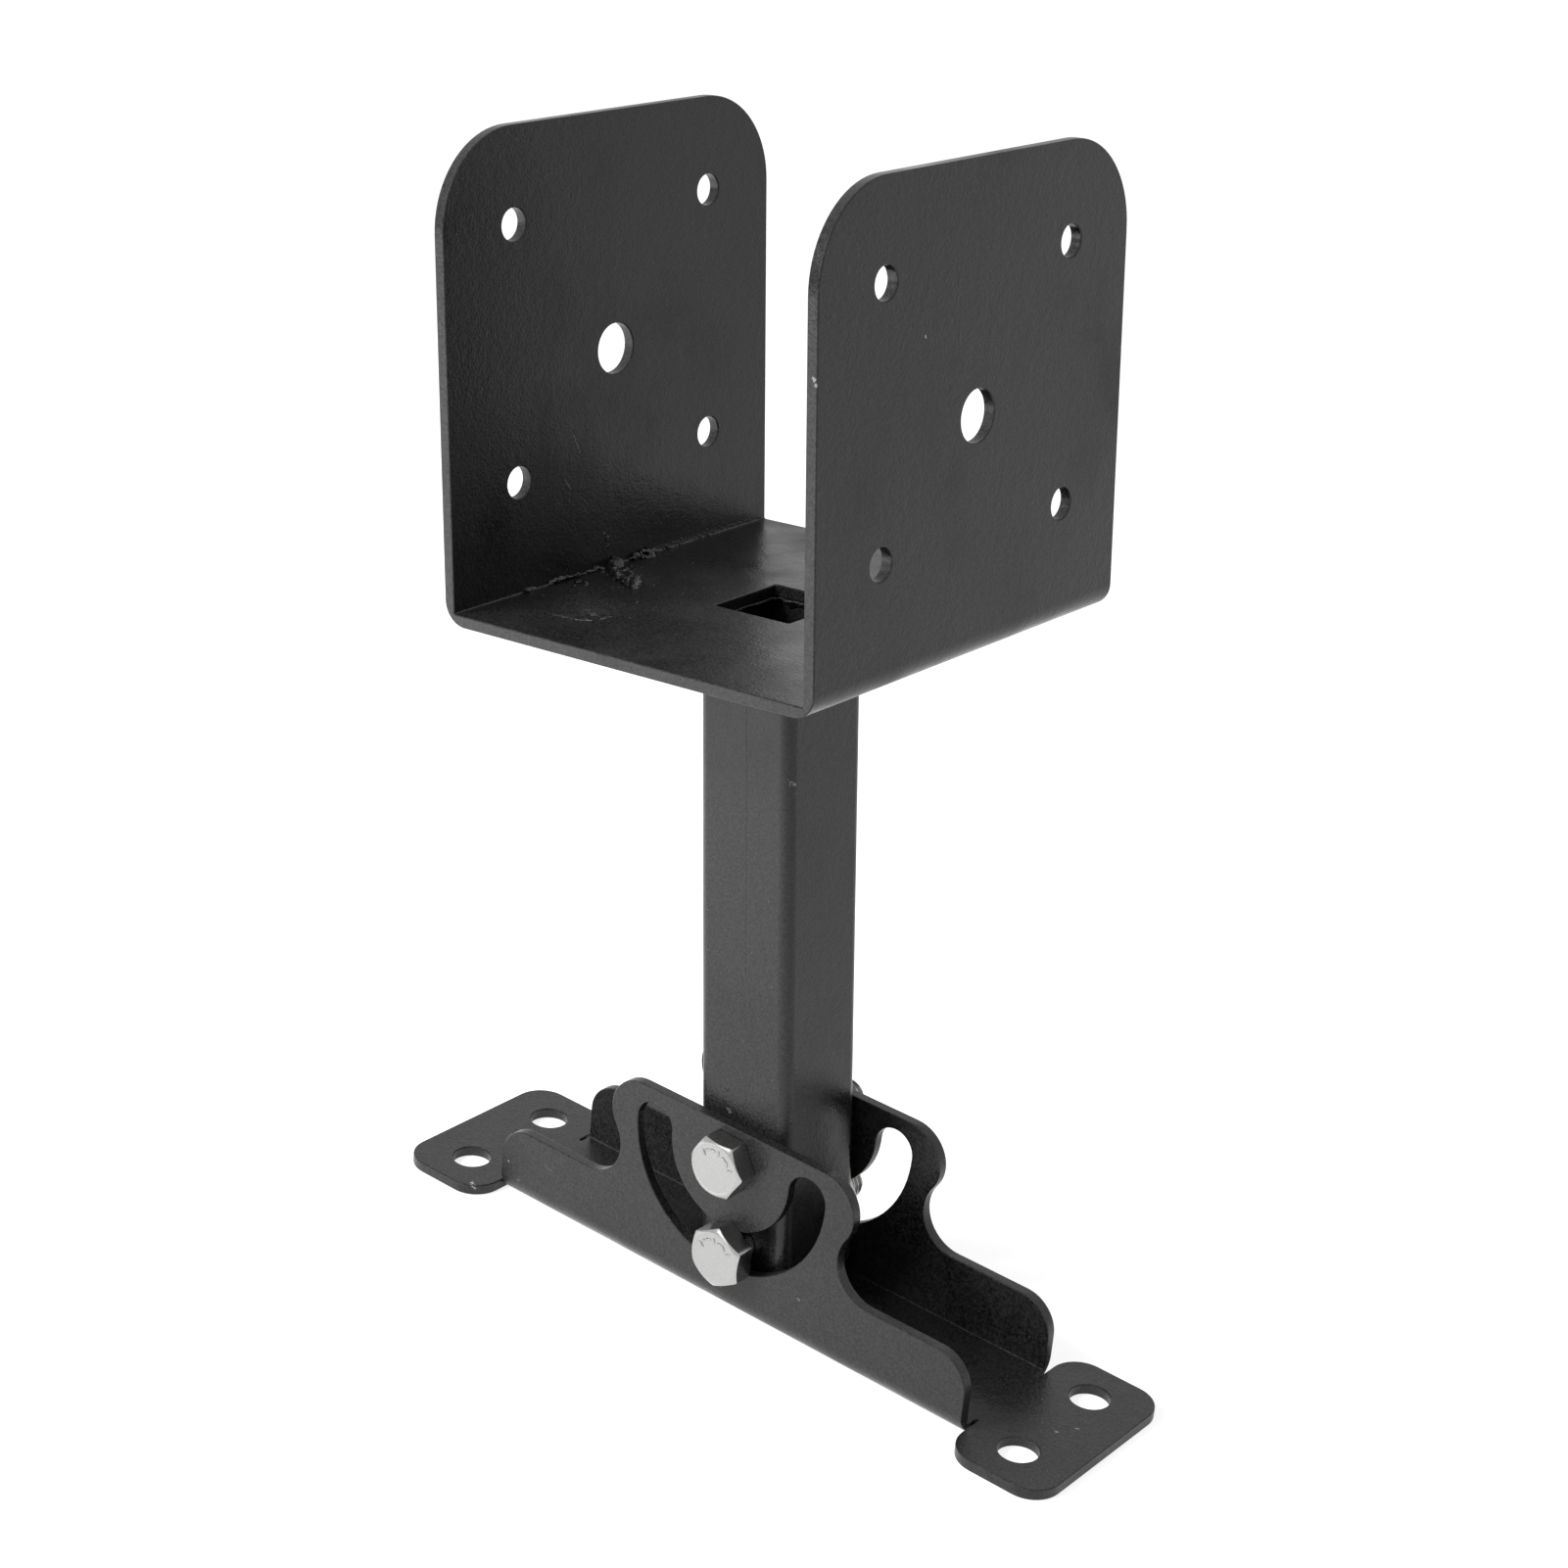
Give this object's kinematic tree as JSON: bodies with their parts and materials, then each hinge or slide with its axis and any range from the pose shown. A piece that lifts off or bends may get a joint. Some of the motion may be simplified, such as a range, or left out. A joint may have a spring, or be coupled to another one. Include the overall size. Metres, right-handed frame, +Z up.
{
  "type": "pergola roof riser bracket",
  "caption": "Adjustable riser bracket for a roof beam: a slotted base channel with screw-down feet holds a square tube that tilts on a pivot bolt and carries a folded U saddle.",
  "frame": {"origin": "underside of the base, midway between the foot holes", "axes": "+X along the base towards one foot, +Y along the bolts from head to nut, +Z up from the mounting surface"},
  "size_m": [0.186, 0.1, 0.2619],
  "materials": {
    "black_coat": "fine-textured satin black powder coat",
    "bright_zinc": "bright zinc plate"
  },
  "bodies": {
    "base": {"base_channel": "black_coat", "pivot_bolt": "bright_zinc", "pivot_nut": "bright_zinc"},
    "riser": {"riser_tube": "black_coat", "saddle": "black_coat", "outer_weld": "black_coat", "inner_weld": "black_coat", "clamp_bolt": "bright_zinc", "clamp_nut": "bright_zinc"}
  },
  "joints": [
    {"name": "tilt", "type": "hinge", "parent": "base", "child": "riser", "pos_m": [0, 0, 0.038], "axis": [0, 1, 0], "range_deg": [-84.6, 95.4]}
  ]
}
